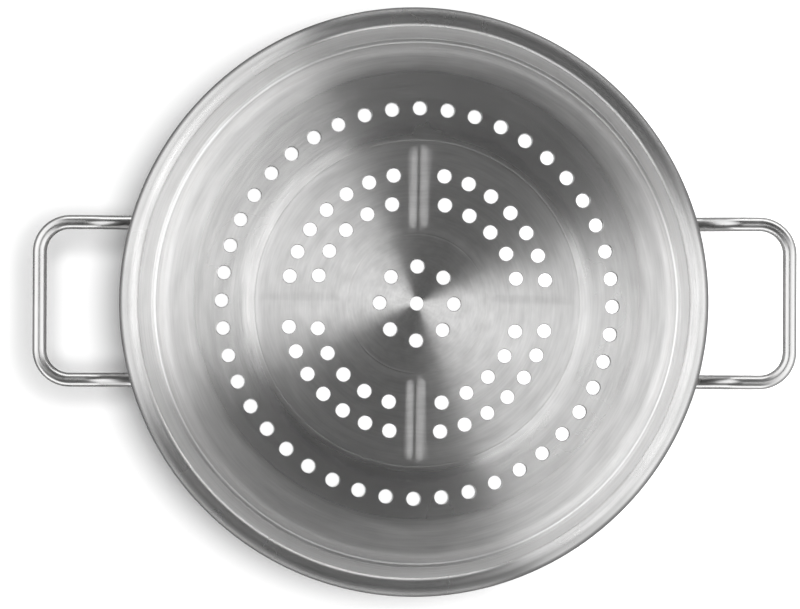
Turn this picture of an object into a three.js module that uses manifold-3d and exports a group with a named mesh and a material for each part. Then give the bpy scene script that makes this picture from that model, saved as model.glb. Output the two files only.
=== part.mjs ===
// Perforated steamer and pasta insert for a 24 cm stockpot: a drawn stainless-steel pan with a rolled
// rim and a seat that drops into the pot, and two round-wire handles welded to its collar.
// Millimetres, +Z up. The origin is the centre of the flat ring of the base that the insert stands on.
import * as THREE from 'three';
import { mergeVertices } from 'three/addons/utils/BufferGeometryUtils.js';
import Module from 'manifold-3d';

const wasm = await Module();
wasm.setup();

// Sheet and rolled rim
const sheetThickness = 0.8;
const rimCrestHeight = 95;       // top of the rolled rim above the table
const rimOuterRadius = 126;
const rollRadius = 4.2;          // outside of the rolled edge
const rollWrap = 255;            // degrees that the edge is rolled round, from the wall outwards
const rimLandWidth = 1.5;        // flat on the rim's crest, where a lid rests

// Walls, measured on the food side
const collarTaper = 0.2;         // how much narrower the collar is at its foot
const seatHeight = 35;           // the step that rests on the pot's rim
const seatWidth = 2.9;
const seatBendRadius = 0.3;
const wallTaper = 0.4;           // how much narrower the lower wall is at its foot
const wallBendRadius = 5;

// Base: a raised outer floor, a flat ring that stands on the table and a raised centre
const floorRise = 2;             // outer floor above the standing ring
const floorStepRun = 8.4;
const standingRingRadius = 69.9;
const centreRise = 0.9;          // centre above the standing ring
const centreStepRun = 3.2;
const centreRadius = 31.5;

// Pressed ribs that stiffen the standing ring
const ribCount = 4;
const ribHeight = 0.6;
const ribRidgeWidth = 1.2;
const ribFlank = 3.8;            // run of each sloping side
const ribEndMargin = 0.4;        // rib's ends to the edges of the standing ring

// Perforation: a middle hole and four rings, spaced evenly. The two rings on the standing ring
// leave out the places where a rib passes.
const holeDiameter = 6.4;
const centreRingRadius = 16.7;
const centreRingPlaces = 8;
const standingHoleMargin = 11.3; // hole centres to the edges of the standing ring
const innerRingPlaces = 24;
const outerRingPlaces = 32;
const floorHoleMargin = 9.6;     // hole centres to the inner edge of the outer floor
const floorRingPlaces = 44;
const pressClocking = -0.75;     // degrees that the pressed base is turned from the handles

// Wire handles
const wireDiameter = 6;
const handleProjection = 38.3;   // rim's edge to the outside of the grip
const handleSpread = 67.9;       // between the axes of a handle's legs
const gripBendRadius = 13;
const legDrop = 20;              // rim's crest down to a leg's axis at the wall
const gripRise = 6;              // grip's axis above a leg's axis at the wall
const crankStart = 1;            // rim's edge to the first bend of the crank, along a leg
const crankRun = 16;
const crankBendRadius = 18;

// Welds
const weldGap = 0.3;             // clearance between the pieces that a weld joins
const weldFootRadius = 5.8;
const weldTopRadius = 4.7;
const weldHeight = 2.4;

// Facets
const roundSides = 64;
const rollStep = 28;             // degrees between points on the roll
const wallBendSteps = 4;
const seatBendSteps = 1;
const holeSides = 8;
const wireSides = 10;
const wireSteps = 52;
const weldSides = 16;

const steel = {
  pan: new THREE.MeshStandardMaterial({ color: 0xb9b9b8, roughness: 0.32, metalness: 1 }),
  wire: new THREE.MeshStandardMaterial({ color: 0xc9c9c8, roughness: 0.14, metalness: 1 }),
  weld: new THREE.MeshStandardMaterial({ color: 0xa8a7a4, roughness: 0.45, metalness: 1 }),
};

// Worked out from the sizes above
const landHalfAngle = THREE.MathUtils.radToDeg(Math.asin(rimLandWidth / 2 / rollRadius));
const rollCentreRadius = rimOuterRadius - rollRadius;
const rollCentreHeight = rimCrestHeight - Math.sqrt(rollRadius ** 2 - (rimLandWidth / 2) ** 2);
const collarTopRadius = rollCentreRadius - rollRadius;
const collarFootRadius = collarTopRadius - collarTaper;
const wallTopRadius = collarFootRadius - seatWidth;
const wallFootRadius = wallTopRadius - wallTaper;
const standingHeight = sheetThickness;
const floorHeight = standingHeight + floorRise;
const centreHeight = standingHeight + centreRise;
const floorInnerRadius = standingRingRadius + floorStepRun;
const standingInnerRadius = centreRadius + centreStepRun;
const wireRadius = wireDiameter / 2;
const legHeight = rimCrestHeight - legDrop;
const gripHeight = legHeight + gripRise;
const legOffset = handleSpread / 2;

// Closed mesh to solid: shared vertices are merged and collapsed triangles dropped
function solidOf(geometry) {
  const bare = geometry.clone();
  bare.deleteAttribute('normal');
  bare.deleteAttribute('uv');
  const merged = mergeVertices(bare);
  const index = merged.index.array;
  const triVerts = [];
  for (let i = 0; i < index.length; i += 3) {
    const [a, b, c] = index.slice(i, i + 3);
    if (a !== b && b !== c && c !== a) triVerts.push(a, b, c);
  }
  return new wasm.Manifold(new wasm.Mesh({
    numProp: 3,
    vertProperties: merged.attributes.position.array,
    triVerts: new Uint32Array(triVerts),
  }));
}

function geometryOf(solid) {
  const mesh = solid.getMesh();
  const geometry = new THREE.BufferGeometry();
  geometry.setAttribute('position', new THREE.BufferAttribute(mesh.vertProperties, 3));
  geometry.setIndex(new THREE.BufferAttribute(mesh.triVerts, 1));
  geometry.computeVertexNormals();
  return geometry;
}

// Solid of revolution about Z from [radius, height] points
function turned(section) {
  const points = section.map(([radius, height]) => new THREE.Vector2(radius, height));
  return solidOf(new THREE.LatheGeometry(points, roundSides).rotateX(Math.PI / 2));
}

// A round bar along Z
function bar(radiusTop, radiusFoot, length, sides) {
  return new THREE.CylinderGeometry(radiusTop, radiusFoot, length, sides).rotateX(Math.PI / 2);
}

function arc(centre, radius, fromDegrees, toDegrees) {
  const steps = Math.ceil(Math.abs(toDegrees - fromDegrees) / rollStep);
  return Array.from({ length: steps + 1 }, (_, i) => {
    const angle = THREE.MathUtils.degToRad(THREE.MathUtils.lerp(fromDegrees, toDegrees, i / steps));
    return [centre[0] + radius * Math.cos(angle), centre[1] + radius * Math.sin(angle)];
  });
}

// A section line moved to its right by a distance, with its corners kept mitred
function offsetLine(line, distance) {
  const points = line.map(([x, y]) => new THREE.Vector2(x, y));
  const normals = points.slice(1).map((point, i) => {
    const along = point.clone().sub(points[i]).normalize();
    return new THREE.Vector2(along.y, -along.x);
  });
  return points.map((point, i) => {
    const before = normals[Math.max(0, i - 1)];
    const after = normals[Math.min(normals.length - 1, i)];
    const mitre = before.clone().add(after).normalize();
    const moved = point.clone().addScaledVector(mitre, distance / mitre.dot(after));
    return [moved.x, moved.y];
  });
}

// A section line with the corners that have a bend replaced by arcs
function rounded(line, bends) {
  return line.flatMap((point, i) => {
    if (!bends[i]) return [point];
    const { radius, steps } = bends[i];
    const corner = new THREE.Vector2(...point);
    const into = corner.clone().sub(new THREE.Vector2(...line[i - 1])).normalize();
    const out = new THREE.Vector2(...line[i + 1]).sub(corner).normalize();
    const turn = Math.atan2(into.cross(out), into.dot(out));
    const start = corner.clone().addScaledVector(into, -radius * Math.tan(Math.abs(turn) / 2));
    const toCentre = new THREE.Vector2(-into.y, into.x).multiplyScalar(Math.sign(turn) * radius);
    const centre = start.clone().add(toCentre);
    return Array.from({ length: steps + 1 }, (_, k) => {
      const swung = start.clone().rotateAround(centre, turn * k / steps);
      return [swung.x, swung.y];
    });
  });
}

// Food side of the sheet from the axis to the roll, and the same line on the outside of the sheet
const foodLine = [
  [0, centreHeight],
  [centreRadius, centreHeight],
  [standingInnerRadius, standingHeight],
  [standingRingRadius, standingHeight],
  [floorInnerRadius, floorHeight],
  [wallFootRadius, floorHeight],
  [wallTopRadius, seatHeight],
  [collarFootRadius, seatHeight],
  [collarTopRadius, rollCentreHeight],
];
const outsideLine = offsetLine(foodLine, sheetThickness);
const wallCorner = foodLine.length - 4;
const seatCorner = foodLine.length - 3;
const collarCorner = foodLine.length - 2;

// Closed section of the pan: up the outside, round the roll and down the food side
function panSection() {
  const tight = { radius: seatBendRadius, steps: seatBendSteps };
  const wide = { radius: seatBendRadius + sheetThickness, steps: seatBendSteps };
  const foodBends = {
    [wallCorner]: { radius: wallBendRadius, steps: wallBendSteps },
    [seatCorner]: wide,
    [collarCorner]: tight,
  };
  const outsideBends = {
    [wallCorner]: { radius: wallBendRadius + sheetThickness, steps: wallBendSteps },
    [seatCorner]: tight,
    [collarCorner]: wide,
  };
  const rollCentre = [rollCentreRadius, rollCentreHeight];
  const rollEnd = 180 - rollWrap;
  const rollOutside = [
    ...arc(rollCentre, rollRadius, 180, 90 + landHalfAngle),
    ...arc(rollCentre, rollRadius, 90 - landHalfAngle, rollEnd),
  ];
  const rollInside = arc(rollCentre, rollRadius - sheetThickness, 180, rollEnd);
  return [
    ...rounded(outsideLine, outsideBends).slice(0, -1),
    ...rollInside,
    ...rollOutside.reverse(),
    ...rounded(foodLine, foodBends).slice(0, -1).reverse(),
  ];
}

// Places round a ring, in degrees; those where a rib passes can be left out
function ringPlaces(count, clearOfRibs) {
  const places = Array.from({ length: count }, (_, i) => i);
  const kept = clearOfRibs ? places.filter((i) => (i * ribCount) % count !== 0) : places;
  return kept.map((i) => THREE.MathUtils.degToRad(pressClocking + 360 * i / count));
}

function holePunches() {
  const punchLength = 2 * (floorHeight + ribHeight);
  const rings = [
    [0, ringPlaces(1, false)],
    [centreRingRadius, ringPlaces(centreRingPlaces, false)],
    [standingInnerRadius + standingHoleMargin, ringPlaces(innerRingPlaces, true)],
    [standingRingRadius - standingHoleMargin, ringPlaces(outerRingPlaces, true)],
    [floorInnerRadius + floorHoleMargin, ringPlaces(floorRingPlaces, false)],
  ];
  const punches = rings.flatMap(([radius, places]) => places.map((angle) => {
    const punch = bar(holeDiameter / 2, holeDiameter / 2, punchLength, holeSides);
    return solidOf(punch.translate(radius, 0, 0).rotateZ(angle));
  }));
  return wasm.Manifold.union(punches);
}

// A ridge with rounded ends whose slopes start at the given height and rise by the rib's height.
// It goes on below that height, so that it can be trimmed there or used as a cutter.
function ribForm(angle, height) {
  const half = ribRidgeWidth / 2;
  const ridgeStart = standingInnerRadius + ribEndMargin + ribFlank + half;
  const ridgeEnd = standingRingRadius - ribEndMargin - ribFlank - half;
  const ridge = new THREE.Shape()
    .absarc(ridgeEnd, 0, half, -Math.PI / 2, Math.PI / 2)
    .absarc(ridgeStart, 0, half, Math.PI / 2, 3 * Math.PI / 2);
  const form = new THREE.ExtrudeGeometry(ridge, {
    depth: ribHeight,
    bevelThickness: ribHeight,
    bevelSize: ribFlank,
    bevelSegments: 1,
    curveSegments: 3,
  });
  return solidOf(form.translate(0, 0, height - ribHeight).rotateZ(angle));
}

function panSolid() {
  let pan = turned(panSection());
  const middleOfSheet = standingHeight - sheetThickness / 2;
  const below = turned([
    [0, -rimCrestHeight],
    [rimOuterRadius, -rimCrestHeight],
    [rimOuterRadius, middleOfSheet],
    [0, middleOfSheet],
  ]);
  for (const angle of ringPlaces(ribCount, false)) {
    pan = pan.add(ribForm(angle, standingHeight).subtract(below));
    pan = pan.subtract(ribForm(angle, standingHeight - sheetThickness));
  }
  return pan.subtract(holePunches());
}

// All that lies within the collar's outside face and its welding gap: it trims legs and welds to the wall
function collarPlug() {
  const [footRadius, footHeight] = outsideLine[collarCorner];
  const [topRadius, topHeight] = outsideLine[collarCorner + 1];
  return turned([
    [0, footHeight],
    [footRadius + weldGap, footHeight],
    [topRadius + weldGap, topHeight],
    [0, topHeight],
  ]);
}

// Where a leg's axis meets the collar's outside face, and where it passes under the rim's edge
const legShare = (legHeight - seatHeight) / (rollCentreHeight - seatHeight);
const collarRadiusAtLeg = THREE.MathUtils.lerp(collarFootRadius, collarTopRadius, legShare) + sheetThickness;
const legRootX = Math.sqrt(collarRadiusAtLeg ** 2 - legOffset ** 2);
const rimEdgeX = Math.sqrt(rimOuterRadius ** 2 - legOffset ** 2);

// A path through corner points with each corner bent to its own radius
function bentPath(corners, radii) {
  const path = new THREE.CurvePath();
  let from = corners[0];
  for (let i = 1; i < corners.length - 1; i++) {
    const into = corners[i].clone().sub(corners[i - 1]).normalize();
    const out = corners[i + 1].clone().sub(corners[i]).normalize();
    const turn = into.angleTo(out);
    const setback = radii[i] * Math.tan(turn / 2);
    const pull = radii[i] * 4 / 3 * Math.tan(turn / 4);
    const start = corners[i].clone().addScaledVector(into, -setback);
    const end = corners[i].clone().addScaledVector(out, setback);
    const startPull = start.clone().addScaledVector(into, pull);
    const endPull = end.clone().addScaledVector(out, -pull);
    path.add(new THREE.LineCurve3(from, start));
    path.add(new THREE.CubicBezierCurve3(start, startPull, endPull, end));
    from = end;
  }
  path.add(new THREE.LineCurve3(from, corners[corners.length - 1]));
  return path;
}

// Right-hand handle: a leg out of the collar, up over its crank, round the grip and back
function handleSolid(plug) {
  const crankX = rimEdgeX + crankStart;
  const gripX = rimOuterRadius + handleProjection - wireRadius;
  const leg = (side) => [
    new THREE.Vector3(legRootX - wireDiameter, side * legOffset, legHeight),
    new THREE.Vector3(crankX, side * legOffset, legHeight),
    new THREE.Vector3(crankX + crankRun, side * legOffset, gripHeight),
    new THREE.Vector3(gripX, side * legOffset, gripHeight),
  ];
  const radii = [0, crankBendRadius, crankBendRadius, gripBendRadius];
  const path = bentPath([...leg(-1), ...leg(1).reverse()], [...radii, ...radii.toReversed()]);
  const section = new THREE.Shape().absarc(0, 0, wireRadius, 0, 2 * Math.PI);
  const wire = new THREE.ExtrudeGeometry(section, {
    steps: wireSteps,
    extrudePath: path,
    curveSegments: wireSides / 2,
  });
  return solidOf(wire).subtract(plug);
}

// Fillet of weld metal, square to the wall, where a leg of the right-hand handle meets the collar.
// Its cone goes on as far inside the wall, where the plug trims it.
function weldSolid(side, plug) {
  const bearing = Math.atan2(side * legOffset, legRootX);
  const buriedRadius = 2 * weldFootRadius - weldTopRadius;
  const fillet = bar(buriedRadius, weldTopRadius, 2 * weldHeight, weldSides)
    .rotateY(-Math.PI / 2)
    .rotateZ(bearing)
    .translate(legRootX, side * legOffset, legHeight);
  const boreRadius = wireRadius + weldGap;
  const bore = bar(boreRadius, boreRadius, 2 * rimOuterRadius, weldSides)
    .rotateY(Math.PI / 2)
    .translate(legRootX, side * legOffset, legHeight);
  return solidOf(fillet).subtract(solidOf(bore)).subtract(plug);
}

function node(name, solid, material) {
  const mesh = new THREE.Mesh(geometryOf(solid), material);
  mesh.name = name;
  return mesh;
}

const insert = new THREE.Group();
insert.add(node('perforated_pan', panSolid(), steel.pan));

// The left-hand handle is the right-hand one turned half round, which swaps its front and back
const plug = collarPlug();
const front = -1;
const back = 1;
for (const [hand, halfTurns, facing] of [['right', 0, 1], ['left', 1, -1]]) {
  const side = new THREE.Group();
  side.rotation.z = Math.PI * halfTurns;
  side.add(node(`wire_handle_${hand}`, handleSolid(plug), steel.wire));
  side.add(node(`weld_${hand}_front`, weldSolid(front * facing, plug), steel.weld));
  side.add(node(`weld_${hand}_back`, weldSolid(back * facing, plug), steel.weld));
  insert.add(side);
}

export default insert;
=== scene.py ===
import math
import bpy
import numpy as np
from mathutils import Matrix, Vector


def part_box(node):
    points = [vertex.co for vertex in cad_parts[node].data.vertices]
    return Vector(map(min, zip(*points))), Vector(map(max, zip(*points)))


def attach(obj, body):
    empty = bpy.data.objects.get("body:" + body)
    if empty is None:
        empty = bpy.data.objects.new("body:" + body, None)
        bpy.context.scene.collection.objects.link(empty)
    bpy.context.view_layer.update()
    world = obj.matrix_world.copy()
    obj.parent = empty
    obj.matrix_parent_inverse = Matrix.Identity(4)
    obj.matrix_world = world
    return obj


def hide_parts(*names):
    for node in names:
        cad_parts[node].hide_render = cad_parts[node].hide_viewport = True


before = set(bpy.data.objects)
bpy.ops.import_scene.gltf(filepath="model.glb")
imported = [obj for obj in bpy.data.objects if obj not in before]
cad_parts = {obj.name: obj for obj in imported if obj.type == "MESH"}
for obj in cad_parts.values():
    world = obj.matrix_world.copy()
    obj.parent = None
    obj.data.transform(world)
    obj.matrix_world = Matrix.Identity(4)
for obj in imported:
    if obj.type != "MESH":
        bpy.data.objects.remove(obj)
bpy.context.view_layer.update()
mm = 0.001
tau = 2 * math.pi


# Mesh helpers

sameSpot = 1e-7   # metres; points that agree when rounded to this are one vertex
noTriangles = np.zeros((0, 3), dtype=int)


# Puts points and faces into a new smooth mesh object. Each point is rounded to a whole number of spots,
# points with the same numbers become one vertex, and the faces are renumbered to match.
def meshPiece(name, points, quads, triangles, material):
    keys = np.round(points / sameSpot).astype(np.int64)
    _, first, lookup = np.unique(keys, axis=0, return_index=True, return_inverse=True)
    lookup = lookup.reshape(-1)
    quads = lookup[quads]
    triangles = lookup[triangles]
    mesh = bpy.data.meshes.new(name)
    mesh.vertices.add(len(first))
    mesh.vertices.foreach_set("co", points[first].astype(np.float32).ravel())
    loops = np.concatenate([quads.ravel(), triangles.ravel()]).astype(np.int32)
    sizes = np.concatenate([np.full(len(quads), 4), np.full(len(triangles), 3)])
    mesh.loops.add(len(loops))
    mesh.loops.foreach_set("vertex_index", loops)
    mesh.polygons.add(len(sizes))
    mesh.polygons.foreach_set("loop_start", (np.cumsum(sizes) - sizes).astype(np.int32))
    mesh.update(calc_edges=True)
    mesh.validate()
    mesh.polygons.foreach_set("use_smooth", np.ones(len(mesh.polygons), dtype=bool))
    mesh.materials.append(material)
    piece = bpy.data.objects.new(name, mesh)
    bpy.context.scene.collection.objects.link(piece)
    return piece


# Quads of a grid: each point with the next one down, the next one across from that, and the next one
# across. A wrapped direction joins its last line to its first.
def gridQuads(rows, columns, wrapRows=False, wrapColumns=False):
    index = np.arange(rows * columns).reshape(rows, columns)
    if wrapRows:
        index = np.concatenate([index, index[:1]], axis=0)
    if wrapColumns:
        index = np.concatenate([index, index[:, :1]], axis=1)
    corners = [index[:-1, :-1], index[1:, :-1], index[1:, 1:], index[:-1, 1:]]
    return np.stack(corners, axis=-1).reshape(-1, 4)


# Edges of a closed ring of points: each point and the one after it.
def ringEdges(points):
    first = np.arange(points)
    return np.stack([first, np.roll(first, -1)], axis=-1)


# Faces of equal patches laid one after another: the patch's faces plus its number times its size.
def repeated(faces, patches, size):
    shift = (np.arange(patches) * size)[:, None, None]
    return (faces + shift).reshape(-1, faces.shape[-1])


# A ramp from 0 to 1, straight in the middle and eased at both ends by a parabola of half-width ease.
def easedRamp(u, ease):
    low = np.clip(u + ease, 0, 2 * ease) ** 2 / (4 * ease)
    high = np.clip(1 + ease - u, 0, 2 * ease) ** 2 / (4 * ease)
    return np.where(u < 0.5, np.where(u < ease, low, u), np.where(u > 1 - ease, 1 - high, u))


# Points along a line of corners in two or three dimensions, with a (radius, steps) for each bend. A
# bend starts the radius times the tangent of half the turn before its corner. From there it goes the
# radius times the sine of the angle along the first leg, and the radius times one less the cosine
# towards the arc's centre.
def bentLine(corners, bends):
    corners = np.array(corners, dtype=float)
    run = [corners[:1]]
    for k, (radius, steps) in enumerate(bends, start=1):
        into = corners[k] - corners[k - 1]
        out = corners[k + 1] - corners[k]
        into = into / np.linalg.norm(into)
        out = out / np.linalg.norm(out)
        turn = math.acos(np.clip(into @ out, -1, 1))
        start = corners[k] - into * radius * math.tan(turn / 2)
        toCentre = out - into * (into @ out)
        toCentre = toCentre / np.linalg.norm(toCentre)
        angle = np.linspace(0, turn, steps + 1)[:, None]
        run.append(start + radius * (np.sin(angle) * into + (1 - np.cos(angle)) * toCentre))
    run.append(corners[-1:])
    return np.concatenate(run)


# Cuts each stretch of a line into equal steps, as many as keep a step within the given length.
def divided(line, longest):
    lengths = np.linalg.norm(np.diff(line, axis=0), axis=1)
    steps = np.maximum(1, np.ceil(lengths / longest)).astype(int)
    which = np.repeat(np.arange(len(steps)), steps)
    share = (np.arange(len(which)) - np.repeat(np.cumsum(steps) - steps, steps)) / steps[which]
    inner = line[which] + (line[which + 1] - line[which]) * share[:, None]
    return np.concatenate([inner, line[-1:]])


# Node helpers

noiseRange = (0.3, 0.7)   # nearly all values of a noise lie between these


# Fills a node's inputs by name or number: another node's output is linked, and a plain value is set.
def fill(tree, node, values):
    for label, value in values.items():
        if isinstance(value, bpy.types.NodeSocket):
            tree.links.new(value, node.inputs[label])
        else:
            node.inputs[label].default_value = value


# A new node with its inputs filled.
def addNode(tree, kind, values):
    node = tree.nodes.new(kind)
    fill(tree, node, values)
    return node


# One operation on two values, each a number or an output. A root or an arc sine takes the first alone.
def maths(tree, operation, a, b=0.0):
    node = addNode(tree, "ShaderNodeMath", {0: a, 1: b})
    node.operation = operation
    return node.outputs[0]


# Spreads a value over a range of results: the first result up to the start of the range that is read,
# the second one from its end on, and in between an even ramp or a smooth one.
def spread(tree, value, results, reading=noiseRange, easing="LINEAR"):
    labels = ("From Min", "From Max", "To Min", "To Max")
    node = addNode(tree, "ShaderNodeMapRange", dict(zip(labels, (*reading, *results))))
    node.interpolation_type = easing
    fill(tree, node, {"Value": value})
    return node.outputs["Result"]


# The three coordinates of a place.
def separate(tree, place):
    return addNode(tree, "ShaderNodeSeparateXYZ", {0: place}).outputs


# Noise at a place times a scale, with the given number of finer layers added to it.
def noiseAt(tree, place, scale, detail):
    values = {"Vector": place, "Scale": scale, "Detail": detail}
    return addNode(tree, "ShaderNodeTexNoise", values).outputs["Fac"]


# A slightly warm grey: red is the value, green is the value times one less the warmth, and blue is the
# value times one less twice the warmth.
def greyTone(tree, value, warmth):
    shares = {"Red": 1.0, "Green": 1.0 - warmth, "Blue": 1.0 - 2 * warmth}
    channels = {label: maths(tree, "MULTIPLY", value, share) for label, share in shares.items()}
    return addNode(tree, "ShaderNodeCombineColor", channels).outputs["Color"]


# The normal tilted by the slope of a height, where a height of 1 stands for the given distance.
def bumpFrom(tree, height, distance, strength):
    values = {"Height": height, "Distance": distance, "Strength": strength}
    return addNode(tree, "ShaderNodeBump", values).outputs["Normal"]


# A material with nothing but a Principled shader on its output.
def newMaterial(name):
    material = bpy.data.materials.new(name)
    material.use_nodes = True
    tree = material.node_tree
    tree.nodes.clear()
    shader = tree.nodes.new("ShaderNodeBsdfPrincipled")
    addNode(tree, "ShaderNodeOutputMaterial", {"Surface": shader.outputs[0]})
    return material, tree, shader


# A node group with number inputs, each with its first value, and number outputs. Gives the group, the
# outputs of its input node, its output node and the place on the surface in Object coordinates.
def newGroup(name, inputs, outputs):
    group = bpy.data.node_groups.new(name, "ShaderNodeTree")
    for label, value in inputs.items():
        socket = group.interface.new_socket(label, in_out="INPUT", socket_type="NodeSocketFloat")
        socket.default_value = value
    for label in outputs:
        group.interface.new_socket(label, in_out="OUTPUT", socket_type="NodeSocketFloat")
    given = group.nodes.new("NodeGroupInput").outputs
    result = group.nodes.new("NodeGroupOutput")
    place = group.nodes.new("ShaderNodeTexCoord").outputs["Object"]
    return group, given, result, place


# A group placed in a material with values of its own; gives the group's outputs.
def placeGroup(tree, group, values):
    node = tree.nodes.new("ShaderNodeGroup")
    node.node_tree = group
    fill(tree, node, values)
    return node.outputs


# Materials

leastRadius = 1e-5   # metres; keeps the division by the radius from failing on the axis


# Fine lines that run round the pan's axis: noise stretched along the turn, read at radius plus height,
# so that it follows the floor and the wall alike. Gives a fine tone, a broad tone, the radius, the
# height above the table, and a second radius from a centre moved towards the back by the offset.
def brushedGroup():
    inputs = {"Line Width": 0.0004, "Band Width": 0.004, "Line Length": 6.0, "Offset": 0.0}
    outputs = ("Fine Tone", "Broad Tone", "Radius", "Height", "Offset Radius")
    group, given, result, place = newGroup("brushedRound", inputs, outputs)
    x, y, z = separate(group, place)
    moved = maths(group, "SUBTRACT", y, given["Offset"])
    squareX = maths(group, "MULTIPLY", x, x)
    fromAxis = maths(group, "ADD", squareX, maths(group, "MULTIPLY", y, y))
    fromOffset = maths(group, "ADD", squareX, maths(group, "MULTIPLY", moved, moved))
    radius = maths(group, "MAXIMUM", maths(group, "SQRT", fromAxis), leastRadius)
    offsetRadius = maths(group, "SQRT", fromOffset)
    fill(group, result, {"Radius": radius, "Height": z, "Offset Radius": offsetRadius})
    turnX = maths(group, "MULTIPLY", maths(group, "DIVIDE", x, radius), given["Line Length"])
    turnY = maths(group, "MULTIPLY", maths(group, "DIVIDE", y, radius), given["Line Length"])
    across = maths(group, "ADD", radius, z)
    for width, label, detail in (("Line Width", "Fine Tone", 1.0), ("Band Width", "Broad Tone", 2.0)):
        line = maths(group, "DIVIDE", across, given[width])
        vector = addNode(group, "ShaderNodeCombineXYZ", {0: turnX, 1: turnY, 2: line})
        fill(group, result, {label: noiseAt(group, vector.outputs[0], scale=1.0, detail=detail)})
    return group


# Soft cloudy unevenness of a handled surface: noise at the place divided by a cloud's size.
def handledGroup():
    group, given, result, place = newGroup("handledClouds", {"Cloud Size": 0.03}, ("Clouds",))
    scale = maths(group, "DIVIDE", 1.0, given["Cloud Size"])
    fill(group, result, {"Clouds": noiseAt(group, place, scale, detail=4.0)})
    return group


brushedRound = brushedGroup()
handledClouds = handledGroup()

# Tone and roughness of the sheet, and how they change over the pan. The tone zones paint light and
# shade: each makes a band of the pan lighter or darker to stand in for highlights and shade. A zone is
# what it is read from, where it starts and ends in metres, and the gain or addition that it reaches
# there and keeps beyond.
sheetFinishAndPaintedLight = {
    "tone": (0.58, 0.70),
    "fineTone": 0.03,
    "warmth": 0.004,
    "rough": (0.36, 0.38),
    "clouds": {"Cloud Size": 0.05},
    "anisotropy": 1.0,
    "acrossTheLines": 0.25,   # the lines run round the axis, so the gloss spreads across them
    "lines": {"Line Width": 0.0009, "Band Width": 0.005, "Line Length": 4.0, "Offset": 0.0038},
    "lineDepth": (0.000004, 0.5),   # metres, and the strength of the bump
    "haze": 0.9,              # weight and roughness of the dull film that shows at a slant
    "hazeRough": 0.55,
    "paintedLightZones": (
        ("Offset Radius", 0.1005, 0.1065, 1.33),   # painted highlight: edge of the floor lighter, round a centre a little off the axis
        ("Height", 0.0035, 0.0055, 1.13),     # painted highlight: foot of the wall lighter
        ("Height", 0.0120, 0.0300, 0.83),     # painted shade: upper wall darker
        ("Height", 0.0338, 0.0343, 1.30),     # painted highlight: edge of the seat lighter
        ("Height", 0.03488, 0.0350, 0.75),    # painted shade: seat darker
        ("Height", 0.0352, 0.0356, 1.03),     # painted light: collar a little lighter
        ("Radius", 0.11775, 0.1183, 0.72),    # painted shade: bend into the lip darker
        ("Radius", 0.1190, 0.1201, 1.38),     # painted highlight: crest lighter
        ("Radius", 0.1210, 0.1222, 0.66),     # painted shade: slope of the lip darker
        ("Radius", 0.1241, 0.1249, 0.45),     # painted shade: where the edge turns down, darker
    ),
    "roughZones": (
        ("Radius", 0.0700, 0.0760, -0.10),    # the outer floor is glossier than the pressed middle
        ("Offset Radius", 0.1005, 0.1065, 0.20),   # coarser lines on the edge of the floor
        ("Height", 0.0034, 0.0060, -0.13),    # wall
        ("Height", 0.0925, 0.0937, -0.07),    # lip
    ),
}


# The pan's metal. Its tone is the broad tone plus the fine one, times the gain of every tone zone, which
# paints light and shade into it, and its roughness the clouds' value plus the addition of every zone.
# The gloss is drawn out across the lines.
def brushedSheet():
    material, tree, shader = newMaterial("brushedSheet")
    grain = placeGroup(tree, brushedRound, sheetFinishAndPaintedLight["lines"])
    clouds = placeGroup(tree, handledClouds, sheetFinishAndPaintedLight["clouds"])["Clouds"]
    fine = spread(tree, grain["Fine Tone"], (-sheetFinishAndPaintedLight["fineTone"], sheetFinishAndPaintedLight["fineTone"]))
    tone = maths(tree, "ADD", fine, spread(tree, grain["Broad Tone"], sheetFinishAndPaintedLight["tone"]))
    # painted light and shade: each tone zone makes its band of the pan lighter or darker
    for place, start, end, gain in sheetFinishAndPaintedLight["paintedLightZones"]:
        tone = maths(tree, "MULTIPLY", tone, spread(tree, grain[place], (1.0, gain), (start, end)))
    rough = spread(tree, clouds, sheetFinishAndPaintedLight["rough"])
    for place, start, end, addition in sheetFinishAndPaintedLight["roughZones"]:
        rough = maths(tree, "ADD", rough, spread(tree, grain[place], (0.0, addition), (start, end)))
    fill(tree, shader, {
        "Base Color": greyTone(tree, tone, sheetFinishAndPaintedLight["warmth"]),
        "Roughness": rough,
        "Normal": bumpFrom(tree, grain["Fine Tone"], *sheetFinishAndPaintedLight["lineDepth"]),
        "Metallic": 1.0,
        "Anisotropic": sheetFinishAndPaintedLight["anisotropy"],
        "Anisotropic Rotation": sheetFinishAndPaintedLight["acrossTheLines"],
        "Coat Weight": sheetFinishAndPaintedLight["haze"],
        "Coat Roughness": sheetFinishAndPaintedLight["hazeRough"],
    })
    return material


wireFinish = {
    "clouds": {"Cloud Size": 0.012},
    "tone": (0.56, 0.64),
    "warmth": 0.004,
    "rough": (0.24, 0.32),
    "dents": (0.00005, 0.4),     # metres, and the strength of the bump
}
weldFinish = {
    "clouds": {"Cloud Size": 0.003},
    "tone": (0.46, 0.62),
    "warmth": 0.03,
    "rough": (0.30, 0.48),
    "dents": (0.0001, 0.5),
}


# Bare metal whose tone, roughness and dents all follow the same clouds, each spread over its own range.
def handledMetal(name, finish):
    material, tree, shader = newMaterial(name)
    clouds = placeGroup(tree, handledClouds, finish["clouds"])["Clouds"]
    fill(tree, shader, {
        "Base Color": greyTone(tree, spread(tree, clouds, finish["tone"]), finish["warmth"]),
        "Roughness": spread(tree, clouds, finish["rough"]),
        "Normal": bumpFrom(tree, clouds, *finish["dents"]),
        "Metallic": 1.0,
    })
    return material


# Pan

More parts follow.
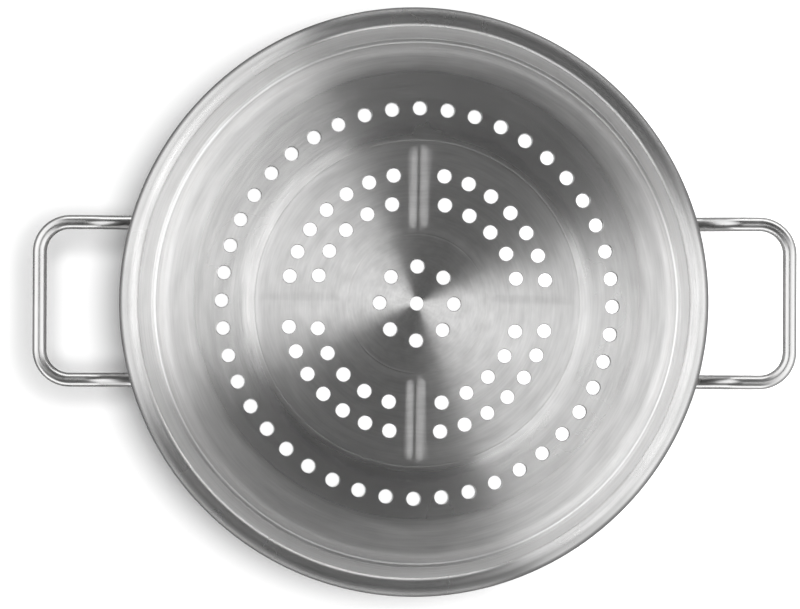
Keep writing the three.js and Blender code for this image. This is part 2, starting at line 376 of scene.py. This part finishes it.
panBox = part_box("perforated_pan")
pan = {
    "sheet": 0.8 * mm,
    "crestHeight": panBox[1].z,
    "rimRadius": panBox[1].x,
    "lip": ((2.2 * mm, 78), (8.3 * mm, 36), (2.7 * mm, 150)),   # its bends: radius and degrees
    "lipSteps": (10, 14, 14),
    "collarTaper": 0.55 * mm,
    "seatHeight": 35 * mm,
    "seatWidth": 2.1 * mm,
    "seatBend": 0.3 * mm,
    "wallTaper": 0.1 * mm,
    "wallBend": 5.0 * mm,
    "wallMargin": 1.5 * mm,      # floor that belongs to the wall's section, inside the bend
    "wallStation": 6 * mm,       # longest stretch between points of the wall's section
    "foodSteps": (14, 5, 5),     # steps in the bends at the wall's foot, the seat and the collar's foot
    "outsideSteps": (8, 4, 4),
}


# How far the lip stands out from the collar and up from its foot. Each bend adds its radius times the
# fall in the sine of the heading, down to straight down, and times the gain in its cosine, up to level.
def lipExtent():
    heading = 90.0
    reach = 0.0
    rise = 0.0
    for radius, turn in pan["lip"]:
        ending = heading - turn
        low = max(ending, -90.0)
        level = max(ending, 0.0)
        reach += radius * (math.sin(math.radians(heading)) - math.sin(math.radians(low)))
        rise += radius * (math.cos(math.radians(level)) - math.cos(math.radians(max(heading, 0.0))))
        heading = ending
    return reach, rise


lipReach, lipRise = lipExtent()
pan["lipFoot"] = pan["crestHeight"] - lipRise
pan["collarTop"] = pan["rimRadius"] - lipReach
pan["collarFoot"] = pan["collarTop"] - pan["collarTaper"]
pan["wallTop"] = pan["collarFoot"] - pan["seatWidth"]
pan["wallFoot"] = pan["wallTop"] - pan["wallTaper"]
pan["wallStart"] = pan["wallFoot"] - pan["wallBend"] - pan["wallMargin"]

base = {
    "floorRise": 2.0 * mm,
    "floorStep": 8.4 * mm,
    "standingRadius": 69.9 * mm,
    "centreRise": 0.9 * mm,
    "centreStep": 3.2 * mm,
    "centreRadius": 31.5 * mm,
    "stepEase": 0.25,
    "creaseDepth": 0.20 * mm,    # sharp line that the press leaves in each step
    "creaseWidth": 0.30 * mm,
    "floorCrease": 73.3 * mm,
    "centreCrease": 31.3 * mm,
    "ribHeight": (0.14 * mm, 0.50 * mm, 0.14 * mm, 0.50 * mm),   # right, back, left, front
    "ribRidge": 0.6 * mm,        # half the ridge's width
    "ribFlank": 3.8 * mm,
    "ribEase": 0.22,
    "ribMargin": -2.2 * mm,      # the ribs run a little into the steps
    "dishStart": 97 * mm,        # where the floor begins to rise to the wall
    "dishSlope": 0.06,
    "clocking": math.radians(-0.75),
}
base["standingInner"] = base["centreRadius"] + base["centreStep"]
base["floorInner"] = base["standingRadius"] + base["floorStep"]

# A ring's places are how many there are and which of them are left out: every sixth, say, or 0 for none.
holes = {
    "radius": 3.2 * mm,
    "edge": 0.22 * mm,           # rounding of the punched edge
    "edgeSwing": (0, 45, 90),    # degrees round it, from the hole's wall to the flat
    "edgeMargin": 0.05 * mm,     # flat strip beside it
    "centreRing": 16.7 * mm,
    "standingMargin": 11.3 * mm,
    "floorMargin": 9.6 * mm,
    "cell": 6.3 * mm,            # half the height of the patch of sheet round each hole
    "cellRows": 8,
    "centrePlaces": (8, 0),
    "innerPlaces": (24, 6),
    "outerPlaces": (32, 8),
    "floorPlaces": (44, 0),
}
holes["innerRing"] = base["standingInner"] + holes["standingMargin"]
holes["outerRing"] = base["standingRadius"] - holes["standingMargin"]
holes["floorRing"] = base["floorInner"] + holes["floorMargin"]


# Rise of the floor towards the wall: a parabola that reaches the dish's slope where the wall's section
# starts, and goes on straight from there.
def dishRise(radius):
    run = pan["wallStart"] - base["dishStart"]
    beyond = np.maximum(radius - base["dishStart"], 0.0)
    return base["dishSlope"] * np.where(beyond < run, beyond ** 2 / (2 * run), beyond - run / 2)


# Height of the food side of the base: two eased steps in the radius, a fine crease in each, and four
# ribs, each a ramp in the distance from a straight ridge.
def foodHeight(x, y):
    radius = np.hypot(x, y)
    height = np.full_like(radius, pan["sheet"])
    down = easedRamp((base["standingInner"] - radius) / base["centreStep"], base["stepEase"])
    up = easedRamp((radius - base["standingRadius"]) / base["floorStep"], base["stepEase"])
    height += base["centreRise"] * down + base["floorRise"] * up + dishRise(radius)
    for crease in (base["floorCrease"], base["centreCrease"]):
        height -= base["creaseDepth"] * np.exp(-((radius - crease) / base["creaseWidth"]) ** 2)
    ridgeStart = base["standingInner"] + base["ribMargin"] + base["ribFlank"] + base["ribRidge"]
    ridgeEnd = base["standingRadius"] - base["ribMargin"] - base["ribFlank"] - base["ribRidge"]
    for quarter, ribHeight in enumerate(base["ribHeight"]):
        turn = base["clocking"] + quarter * tau / 4
        along = x * math.cos(turn) + y * math.sin(turn)
        aside = -x * math.sin(turn) + y * math.cos(turn)
        beyond = along - np.clip(along, ridgeStart, ridgeEnd)
        distance = np.hypot(beyond, aside) - base["ribRidge"]
        height += ribHeight * easedRamp(1 - distance / base["ribFlank"], base["ribEase"])
    return height


# How the base is laid out flat as rings of points: lines per turn in each zone, circles in the plain
# bands, and the widths of the strips that lead from one zone to the next. Beside each rib the lines
# close up on the ridge: those nearer than the even line run at set distances from it.
lines = {
    "centre": 192,
    "standing": 384,
    "floor": 352,
    "wall": 176,
    "middleCircles": 3,
    "innerCircles": 17,
    "outerCircles": 15,
    "edgeCircles": 5,
    "middleStrip": 1.5 * mm,
    "zipStrip": 2 * mm,
    "outerStrip": 1.2 * mm,
    "edgeStrip": 2.5 * mm,
    "creaseCircles": np.array([-2.0, -1.1, -0.5, 0.0, 0.5, 1.1, 2.0]),   # in widths of the crease
    "creaseClear": 2.6,          # no other circle is nearer to the crease than this
    "ribEven": 6,
    "ribOffsets": np.array([0.0, 0.4, 0.9, 1.7, 2.8, 4.2]) * mm,
    "ribReach": 5.2 * mm,
}
layout = {"xy": [], "drop": [], "quads": [], "triangles": [], "edges": []}


# Adds points to the layout, with how far the sheet has dropped there. Faces and hole edges count from
# the first of these points, so the number of points laid before is added to them.
def addLayout(xy, quads=None, triangles=None, edges=None, drop=None):
    start = sum(len(laid) for laid in layout["xy"])
    layout["xy"].append(xy)
    layout["drop"].append(np.zeros(len(xy)) if drop is None else drop)
    for label, faces in (("quads", quads), ("triangles", triangles), ("edges", edges)):
        if faces is not None:
            layout[label].append(faces + start)


# Points on circles: the radius times the cosine and the sine of the angle.
def onCircles(radius, angle):
    return np.stack([radius * np.cos(angle), radius * np.sin(angle)], axis=-1)


# Angles of a zone's lines on each circle: even steps round the turn. Beside a rib the angle from the
# ridge is the arc sine of the line's set distance over the radius, drawn in where the circle is small.
def zoneAngles(radius, count):
    step = np.arange(count)
    angle = np.broadcast_to(step * tau / count, (len(radius), count)).copy()
    if count != lines["standing"]:
        return angle + base["clocking"]
    quarter = count // 4
    aside = (step + quarter // 2) % quarter - quarter // 2
    near = np.abs(aside) < lines["ribEven"]
    limit = radius * math.sin(lines["ribEven"] * tau / count)
    squeeze = np.minimum(1.0, limit / lines["ribReach"])[:, None]
    offset = np.sign(aside[near]) * lines["ribOffsets"][np.abs(aside[near])]
    centre = (step - aside)[near] * tau / count
    angle[:, near] = centre + np.arcsin(offset * squeeze / radius[:, None])
    return angle + base["clocking"]


# A plain band: circles of the given radii crossed by the zone's lines. With drops, one for each circle,
# the first circle is the wall of a hole.
def plainBand(radii, count, drop=None):
    radii = np.asarray(radii, dtype=float)
    xy = onCircles(radii[:, None], zoneAngles(radii, count)).reshape(-1, 2)
    quads = gridQuads(len(radii), count, wrapColumns=True)
    if drop is None:
        addLayout(xy, quads=quads)
    else:
        addLayout(xy, quads=quads, edges=ringEdges(count), drop=np.repeat(drop, count))


# Joins two circles with different lines: each edge of one circle makes a triangle with the point of the
# other that lies opposite its middle.
def zipBand(innerRadius, innerCount, outerRadius, outerCount):
    inner = np.arange(innerCount)
    outer = np.arange(outerCount)
    innerMiddle = (inner + 0.5) / innerCount
    outerMiddle = (outer + 0.5) / outerCount
    facing = np.searchsorted(outerMiddle, innerMiddle) % outerCount
    backing = np.searchsorted(innerMiddle, outerMiddle, side="right") % innerCount
    fromInner = np.stack([inner, facing + innerCount, (inner + 1) % innerCount], axis=-1)
    fromOuter = np.stack([backing, outer + innerCount, (outer + 1) % outerCount + innerCount], axis=-1)
    innerXy = onCircles(innerRadius, zoneAngles(np.array([innerRadius]), innerCount)[0])
    outerXy = onCircles(outerRadius, zoneAngles(np.array([outerRadius]), outerCount)[0])
    addLayout(np.concatenate([innerXy, outerXy]), triangles=np.concatenate([fromInner, fromOuter]))


# Section of a hole's rounded edge: at each angle round it the distance from the hole's wall is the
# rounding times one less the cosine, and the sheet has dropped by the rounding times one less the sine.
def punchedEdge():
    swing = np.radians(holes["edgeSwing"])
    outward = np.append(holes["edge"] * (1 - np.cos(swing)), holes["edge"] + holes["edgeMargin"])
    dropped = np.append(holes["edge"] * (1 - np.sin(swing)), 0.0)
    return outward, dropped


# A ring of patches, each a sector of the sheet with a hole in it. A patch is spanned by spokes from the
# hole's centre to points round the sector's border. Left-out places get a plain grid instead.
def holeBand(ring, count):
    ringRadius = holes[ring + "Ring"]
    places, leftOut = holes[ring + "Places"]
    rows = holes["cellRows"]
    columns = count // places
    half = columns // 2
    radii = np.linspace(ringRadius - holes["cell"], ringRadius + holes["cell"], rows + 1)
    span = np.arange(-half, half + 1) * tau / count
    alongOuter = np.full(columns, radii[-1])
    alongInner = np.full(columns, radii[0])
    borderRadius = np.concatenate([radii[:-1], alongOuter, radii[:0:-1], alongInner])
    alongFirst = np.full(rows, span[0])
    alongLast = np.full(rows, span[-1])
    borderAngle = np.concatenate([alongFirst, span[:-1], alongLast, span[:0:-1]])
    points = len(borderRadius)
    place = np.arange(places)
    punched = place[place % leftOut != 0] if leftOut else place
    turn = base["clocking"] + punched * tau / places
    border = onCircles(borderRadius, borderAngle + turn[:, None])
    centre = onCircles(ringRadius, turn)[:, None, :]
    spoke = border - centre
    reach = np.linalg.norm(spoke, axis=-1, keepdims=True)
    outward, dropped = punchedEdge()
    rings = [centre + spoke / reach * (holes["radius"] + step) for step in outward] + [border]
    xy = np.stack(rings, axis=1)
    layers = xy.shape[1]
    drop = np.broadcast_to(np.append(dropped, 0.0)[None, :, None], xy.shape[:3]).ravel()
    quads = repeated(gridQuads(layers, points, wrapColumns=True), len(punched), layers * points)
    edges = repeated(ringEdges(points), len(punched), layers * points)
    addLayout(xy.reshape(-1, 2), quads=quads, edges=edges, drop=drop)
    if leftOut:
        shut = place[place % leftOut == 0]
        column = (shut[:, None] * columns + np.arange(-half, half + 1)) % count
        angle = zoneAngles(radii, count)[:, column].transpose(1, 0, 2)
        sector = onCircles(radii[None, :, None], angle)
        grid = repeated(gridQuads(rows + 1, columns + 1), len(shut), (rows + 1) * (columns + 1))
        addLayout(sector.reshape(-1, 2), quads=grid)


# Circles across a step: even ones, and near the crease a set at fixed distances from it instead.
def stepCircles(start, end, crease, count):
    fine = crease + lines["creaseCircles"] * base["creaseWidth"]
    even = np.linspace(start, end, count)
    clear = np.abs(even - crease) > lines["creaseClear"] * base["creaseWidth"]
    return np.unique(np.concatenate([even[clear], fine]))


# The whole base from the middle hole outwards: plain bands and bands of holes by turns, with a zip
# wherever the number of lines changes. Each band starts on the circle where the last one ended.
def layBase():
    cell = holes["cell"]
    outward, dropped = punchedEdge()
    middleStart = holes["radius"] + lines["middleStrip"]
    middle = np.linspace(middleStart, holes["centreRing"] - cell, lines["middleCircles"])
    drop = np.append(dropped, np.zeros(len(middle)))
    plainBand(np.append(holes["radius"] + outward, middle), lines["centre"], drop)
    holeBand("centre", lines["centre"])
    lastCell = holes["centreRing"] + cell
    zipStart = lastCell + lines["zipStrip"]
    zipEnd = zipStart + lines["zipStrip"]
    plainBand([lastCell, zipStart], lines["centre"])
    zipBand(zipStart, lines["centre"], zipEnd, lines["standing"])
    innerEnd = holes["innerRing"] - cell
    inner = stepCircles(zipEnd, innerEnd, base["centreCrease"], lines["innerCircles"])
    plainBand(inner, lines["standing"])
    holeBand("inner", lines["standing"])
    holeBand("outer", lines["standing"])
    outerEnd = base["floorInner"] + lines["outerStrip"]
    outer = stepCircles(holes["outerRing"] + cell, outerEnd, base["floorCrease"], lines["outerCircles"])
    plainBand(outer, lines["standing"])
    zipBand(outer[-1], lines["standing"], holes["floorRing"] - cell, lines["floor"])
    holeBand("floor", lines["floor"])
    edgeStart = pan["wallStart"] - lines["edgeStrip"]
    edge = np.linspace(holes["floorRing"] + cell, edgeStart, lines["edgeCircles"])
    plainBand(edge, lines["floor"])
    zipBand(edgeStart, lines["floor"], pan["wallStart"], lines["wall"])


# The two sides of the lip's sheet: a chain of arcs that turn outwards and down, each starting where the
# last one ended. Its inner side is the same chain at a radius smaller by the sheet's thickness, with
# every second point.
def lipLines():
    point = np.array([pan["collarTop"], pan["lipFoot"]])
    heading = math.pi / 2
    outer = [point[None]]
    inner = [point[None] + np.array([[pan["sheet"], 0.0]])]
    for (radius, turn), steps in zip(pan["lip"], pan["lipSteps"]):
        centre = point + radius * np.array([math.sin(heading), -math.cos(heading)])
        angle = heading - np.radians(turn) * np.arange(1, steps + 1) / steps
        spoke = np.stack([-np.sin(angle), np.cos(angle)], axis=1)
        outer.append(centre + radius * spoke)
        inner.append(centre + (radius - pan["sheet"]) * spoke)
        point = outer[-1][-1]
        heading = angle[-1]
    return np.concatenate(outer), np.concatenate(inner)[::2]


# Section of the wall and rim: up the food side, round the roll, back along its inside and down the
# outside. A corner of the outside is the food side's, moved out and down by the sheet's thickness, and
# points there may be twice as far apart.
def wallSection():
    sheet = pan["sheet"]
    floorTop = sheet + base["floorRise"] + float(dishRise(pan["wallStart"]))
    cornerTop = sheet + base["floorRise"] + float(dishRise(pan["wallFoot"]))
    wide = pan["wallBend"]
    tight = pan["seatBend"]
    food = [
        (pan["wallStart"], floorTop),
        (pan["wallFoot"], cornerTop),
        (pan["wallTop"], pan["seatHeight"]),
        (pan["collarFoot"], pan["seatHeight"]),
        (pan["collarTop"], pan["lipFoot"]),
    ]
    outside = [
        (pan["wallStart"], floorTop - sheet),
        (pan["wallFoot"] + sheet, cornerTop - sheet),
        (pan["wallTop"] + sheet, pan["seatHeight"] - sheet),
        (pan["collarFoot"] + sheet, pan["seatHeight"] - sheet),
        (pan["collarTop"] + sheet, pan["lipFoot"]),
    ]
    foodLine = bentLine(food, zip((wide, tight + sheet, tight), pan["foodSteps"]))
    outsideLine = bentLine(outside, zip((wide + sheet, tight, tight + sheet), pan["outsideSteps"]))
    rollOutside, rollInside = lipLines()
    up = divided(foodLine, pan["wallStation"])
    down = divided(outsideLine, 2 * pan["wallStation"])[::-1]
    return np.concatenate([up[:-1], rollOutside, rollInside[::-1][:-1], down])


# The pan as one closed sheet. The layout is lifted to the food side's height, and once more, turned
# over, to one thickness below it. Hole edges are joined from one side to the other, and the wall's
# section is carried round the axis.
def perforatedPan(material):
    layBase()
    xy, drop, quads, triangles, edges = (np.concatenate(part) for part in layout.values())
    height = foodHeight(xy[:, 0], xy[:, 1])
    top = np.column_stack([xy, height - drop])
    under = np.column_stack([xy, height - pan["sheet"] + drop])
    section = wallSection()
    angle = zoneAngles(section[:1, 0], lines["wall"])[0]
    ring = onCircles(section[:, :1], angle)
    level = np.broadcast_to(section[:, 1:, None], ring.shape[:2] + (1,))
    wall = np.concatenate([ring, level], axis=-1)
    count = len(xy)
    holeWalls = np.column_stack([edges, edges[:, ::-1] + count])
    wallQuads = gridQuads(len(section), lines["wall"], wrapColumns=True) + 2 * count
    points = np.concatenate([top, under, wall.reshape(-1, 3)])
    allQuads = np.concatenate([quads, quads[:, ::-1] + count, holeWalls, wallQuads])
    allTriangles = np.concatenate([triangles, triangles[:, ::-1] + count])
    return meshPiece("panShell", points, allQuads, allTriangles, material)


# Handles

handle = {
    "wire": 3.0 * mm,            # radius
    "projection": 38.3 * mm,     # beyond the rim
    "spread": 67.9 * mm,
    "gripBend": 13 * mm,
    "legDrop": 20 * mm,          # below the rim
    "gripRise": 6 * mm,
    "crankStart": 1 * mm,
    "crankRun": 16 * mm,
    "crankBend": 18 * mm,
    "sunk": 0.1 * mm,            # how far the ends reach into the collar
    "sides": 32,
    "station": 1.6 * mm,
    "bendSteps": 16,
}
handle["reach"] = pan["rimRadius"] + handle["projection"]
handle["legHeight"] = pan["crestHeight"] - handle["legDrop"]


# Outside radius of the collar at a height: it widens evenly from its foot to the roll.
def collarRadius(z):
    share = (z - pan["seatHeight"]) / (pan["lipFoot"] - pan["seatHeight"])
    return pan["collarFoot"] + pan["collarTaper"] * share + pan["sheet"]


# Where the collar's outside lies along X: the root of its radius squared less y squared.
def wallX(y, z):
    return np.sqrt(collarRadius(z) ** 2 - y ** 2)


# Right-hand handle turned to either side: a round section carried along the bent wire, with both ends
# shaped to the collar and closed by a fan.
def wireHandle(name, side, material):
    half = handle["spread"] / 2
    sides = handle["sides"]
    legHeight = handle["legHeight"]
    gripHeight = legHeight + handle["gripRise"]
    root = float(wallX(half, legHeight))
    crank = math.sqrt(pan["rimRadius"] ** 2 - half ** 2) + handle["crankStart"]
    grip = handle["reach"] - handle["wire"]
    leg = [
        (root, half, legHeight),
        (crank, half, legHeight),
        (crank + handle["crankRun"], half, gripHeight),
        (grip, half, gripHeight),
    ]
    mirrored = [(x, -y, z) for x, y, z in leg]
    radii = (handle["crankBend"], handle["crankBend"], handle["gripBend"])
    bends = [(radius, handle["bendSteps"]) for radius in radii]
    path = divided(bentLine(mirrored + leg[::-1], bends + bends[::-1]), handle["station"])
    along = np.gradient(path, axis=0)
    along /= np.linalg.norm(along, axis=1, keepdims=True)
    aside = np.cross(along, [0, 0, 1])
    aside /= np.linalg.norm(aside, axis=1, keepdims=True)
    above = np.cross(aside, along)
    turn = np.arange(sides) * tau / sides
    ring = aside[:, None] * np.cos(turn)[:, None] + above[:, None] * np.sin(turn)[:, None]
    points = path[:, None] + handle["wire"] * ring
    for end in (0, -1):
        points[end, :, 0] = wallX(points[end, :, 1], points[end, :, 2]) - handle["sunk"]
    rows = len(path)
    quads = gridQuads(rows, sides, wrapColumns=True)[:, ::-1]
    rim = ringEdges(sides)
    firstFan = np.column_stack([rim[:, ::-1], np.full(sides, rows * sides)])
    lastFan = np.column_stack([rim + (rows - 1) * sides, np.full(sides, rows * sides + 1)])
    ends = points[[0, -1]].mean(axis=1)
    points = np.concatenate([points.reshape(-1, 3), ends]) * np.array([side, side, 1])
    return meshPiece(name, points, quads, np.concatenate([firstFan, lastFan]), material)


# Welds

weld = {
    "foot": 5.8 * mm,            # radius on the wall
    "height": 2.6 * mm,          # along the leg
    "sunk": 0.4 * mm,            # how far it reaches into the wall and the wire
    "arcPoints": 9,              # points across the fillet
    "ripples": 22,
    "rippleDepth": 0.05,         # share of the height
    "rippleSpread": 0.5,         # how much of that the foot's radius has
    "around": 88,
}


# A ring of weld metal round a leg: a hollow fillet from the wall to the wire, closed inside both, with
# ripples round it. The section is two arrays, distance from the leg's axis and height above the wall.
def weldBead(name, side, end, material):
    swing = np.linspace(0, math.pi / 2, weld["arcPoints"])
    sunk = weld["sunk"]
    inside = handle["wire"] - sunk
    fillet = weld["foot"] - (weld["foot"] - handle["wire"]) * np.sin(swing)
    distance = np.concatenate([fillet, [inside, inside, weld["foot"]]])
    height = np.concatenate([weld["height"] * (1 - np.cos(swing)), [weld["height"], -sunk, -sunk]])
    turn = np.arange(weld["around"])[:, None] * tau / weld["around"]
    ripple = weld["rippleDepth"] * np.sin(weld["ripples"] * turn)
    onFillet = np.arange(len(distance)) < weld["arcPoints"]
    out = distance * np.where(onFillet, 1 + weld["rippleSpread"] * ripple, 1)
    up = height * np.where(height > 0, 1 + ripple, 1)
    y = end * handle["spread"] / 2 + out * np.cos(turn)
    z = handle["legHeight"] + out * np.sin(turn)
    x = wallX(y, z) + up
    points = np.stack([x, y, z], axis=-1).reshape(-1, 3) * np.array([side, side, 1])
    quads = gridQuads(weld["around"], len(distance), wrapRows=True, wrapColumns=True)
    return meshPiece(name, points, quads, noTriangles, material)


# Ties a piece to the body that carries it, and hides the node that it stands for.
def dress(piece, node):
    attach(piece, "root")
    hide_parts(node)
    print(piece.name, "stands for", node, "with", len(piece.data.polygons), "faces")


dress(perforatedPan(brushedSheet()), "perforated_pan")
wireSteel = handledMetal("polishedWire", wireFinish)
weldSteel = handledMetal("weldMetal", weldFinish)
for hand, side in (("right", 1), ("left", -1)):
    dress(wireHandle(f"handle_{hand}", side, wireSteel), f"wire_handle_{hand}")
    for place, end in (("front", -1), ("back", 1)):
        bead = weldBead(f"weldBead_{hand}_{place}", side, end * side, weldSteel)
        dress(bead, f"weld_{hand}_{place}")


# Stage

paper = {
    "size": 6.0,
    "tone": (0.10, 0.19),        # painted light: darker on the left and lighter on the right; the floor has a strong lamp of its own
    "turn": (0.03, 0.16),        # between these places along X
    "inMetal": 0.25,             # how bright the floor is in the metal, against how the camera sees it
    "rough": 0.9,
}


# Grey paper with painted light: it lightens evenly from left to right; glossy rays see it darker than
# the camera does.
def palePaper():
    material, tree, shader = newMaterial("palePaper")
    place = tree.nodes.new("ShaderNodeTexCoord").outputs["Object"]
    path = tree.nodes.new("ShaderNodeLightPath")
    mirrored = spread(tree, path.outputs["Is Glossy Ray"], (1.0, paper["inMetal"]), (0.0, 1.0))
    # painted light: the paper's colour lightens from left to right
    tone = spread(tree, separate(tree, place)["X"], paper["tone"], paper["turn"])
    fill(tree, shader, {
        "Base Color": greyTone(tree, maths(tree, "MULTIPLY", tone, mirrored), 0.0),
        "Roughness": paper["rough"],
        "Specular IOR Level": 0.0,
    })
    return material


# A level square of paper with the part in its middle.
def paleFloor():
    half = paper["size"] / 2
    corners = np.array([[-half, -half, 0], [half, -half, 0], [half, half, 0], [-half, half, 0]])
    floor = meshPiece("paleFloor", corners, np.array([[0, 1, 2, 3]]), noTriangles, palePaper())
    return floor


# Even light from far off for the floor alone: degrees, and the irradiance that it gives.
keyLamp = {"bearing": 11, "elevation": 82.4, "spread": 16.0, "irradiance": 31.0}


# The lamp's own -Z axis is tipped from straight down by the elevation's rest and turned to the bearing.
def floorKey(floor):
    lamp = bpy.data.lights.new("floorKey", "SUN")
    lamp.angle = math.radians(keyLamp["spread"])
    lamp.energy = keyLamp["irradiance"]
    holder = bpy.data.objects.new("floorKey", lamp)
    bpy.context.scene.collection.objects.link(holder)
    tip = math.radians(90 - keyLamp["elevation"])
    holder.rotation_euler = (tip, 0, math.radians(90 + keyLamp["bearing"]))
    lit = bpy.data.collections.new("litByFloorKey")
    lit.objects.link(floor)
    holder.light_linking.receiver_collection = lit


# Studio round the pan: a bright band along the horizon, two tall soft panels on the left and right, a
# faint fill and dark overhead. Each is a product of eased ramps in bearing and elevation; an edge is
# (degrees, softness), and a radiance is what the metal sees there.
studio = {
    "panels": (
        {"from": (113, 5), "to": (200, 24), "foot": (12, 24), "head": (76, 10), "radiance": 1.35},
        {"from": (140, 50), "to": (200, 24), "foot": (12, 24), "head": (80, 10), "radiance": 0.25},
        {"from": (293, 8), "to": (380, 24), "foot": (12, 24), "head": (96, 8), "radiance": 1.1},
        {"from": (318, 40), "to": (380, 24), "foot": (12, 24), "head": (96, 8), "radiance": 0.5},
        {"from": (25, 24), "to": (108, 10), "foot": (-10, 4), "head": (26, 14), "radiance": 1.7},
        {"from": (205, 24), "to": (288, 10), "foot": (-10, 4), "head": (30, 18), "radiance": 1.5},
    ),
    "band": (0.6, (20, 20)),     # radiance, upper edge
    "fill": (0.08, (70, 14)),
    "backdrop": 1.0,             # what the camera sees above the floor
}
perRadian = 180 / math.pi


# A smooth step from 0 to 1 across an edge, half its softness before and after its place.
def rising(tree, value, edge):
    place, softness = edge
    return spread(tree, value, (0.0, 1.0), (place - softness / 2, place + softness / 2), "SMOOTHSTEP")


# The same step from 1 to 0: one less the rising step.
def falling(tree, value, edge):
    return maths(tree, "SUBTRACT", 1.0, rising(tree, value, edge))


# The sum of the band, the fill and the panels in every direction. The elevation is the arc sine of the
# height, and a panel's bearing the angle from its own middle. The camera sees the backdrop instead.
def studioLight():
    world = bpy.data.worlds.new("studioLight")
    world.use_nodes = True
    tree = world.node_tree
    way = tree.nodes.new("ShaderNodeTexCoord").outputs["Generated"]
    elevation = maths(tree, "MULTIPLY", maths(tree, "ARCSINE", separate(tree, way)["Z"]), perRadian)
    total = 0.0
    for radiance, head in (studio["band"], studio["fill"]):
        glow = maths(tree, "MULTIPLY", falling(tree, elevation, head), radiance)
        total = maths(tree, "ADD", total, glow)
    for panel in studio["panels"]:
        opening, openSoftness = panel["from"]
        closing, closeSoftness = panel["to"]
        middle = (opening + closing) / 2
        turned = addNode(tree, "ShaderNodeVectorRotate", {"Vector": way, "Angle": -math.radians(middle)})
        turned.rotation_type = "Z_AXIS"
        flat = separate(tree, turned.outputs[0])
        bearing = maths(tree, "MULTIPLY", maths(tree, "ARCTAN2", flat["Y"], flat["X"]), perRadian)
        opened = rising(tree, bearing, (opening - middle, openSoftness))
        closed = falling(tree, bearing, (closing - middle, closeSoftness))
        width = maths(tree, "MULTIPLY", opened, closed)
        raised = rising(tree, elevation, panel["foot"])
        upright = maths(tree, "MULTIPLY", raised, falling(tree, elevation, panel["head"]))
        shape = maths(tree, "MULTIPLY", width, upright)
        total = maths(tree, "ADD", total, maths(tree, "MULTIPLY", shape, panel["radiance"]))
    seen = tree.nodes.new("ShaderNodeLightPath").outputs["Is Camera Ray"]
    shown = addNode(tree, "ShaderNodeMix", {"Factor": seen, "A": total, "B": studio["backdrop"]})
    fill(tree, tree.nodes["Background"], {"Color": (1, 1, 1, 1), "Strength": shown.outputs["Result"]})
    bpy.context.scene.world = world


camera = {
    "focalPixels": 3973.0,
    "imageWidth": 800,
    "sensor": 36.0,
    "place": (29.3 * mm, -12.8 * mm, 1789.4 * mm),
    "tilt": (0.399, 1.181, 0.225),   # degrees from straight down
}


# Looks straight down from its place, then tilts by small angles. The lens is the focal length in pixels
# over the image's width, times the sensor's width.
def overheadCamera():
    lens = bpy.data.cameras.new("overheadCamera")
    lens.sensor_width = camera["sensor"]
    lens.lens = camera["focalPixels"] / camera["imageWidth"] * camera["sensor"]
    holder = bpy.data.objects.new("overheadCamera", lens)
    bpy.context.scene.collection.objects.link(holder)
    holder.location = camera["place"]
    holder.rotation_euler = [math.radians(angle) for angle in camera["tilt"]]
    bpy.context.scene.camera = holder


floorKey(paleFloor())
studioLight()
overheadCamera()
bpy.context.scene.view_settings.view_transform = "Standard"
print("stage is lit")
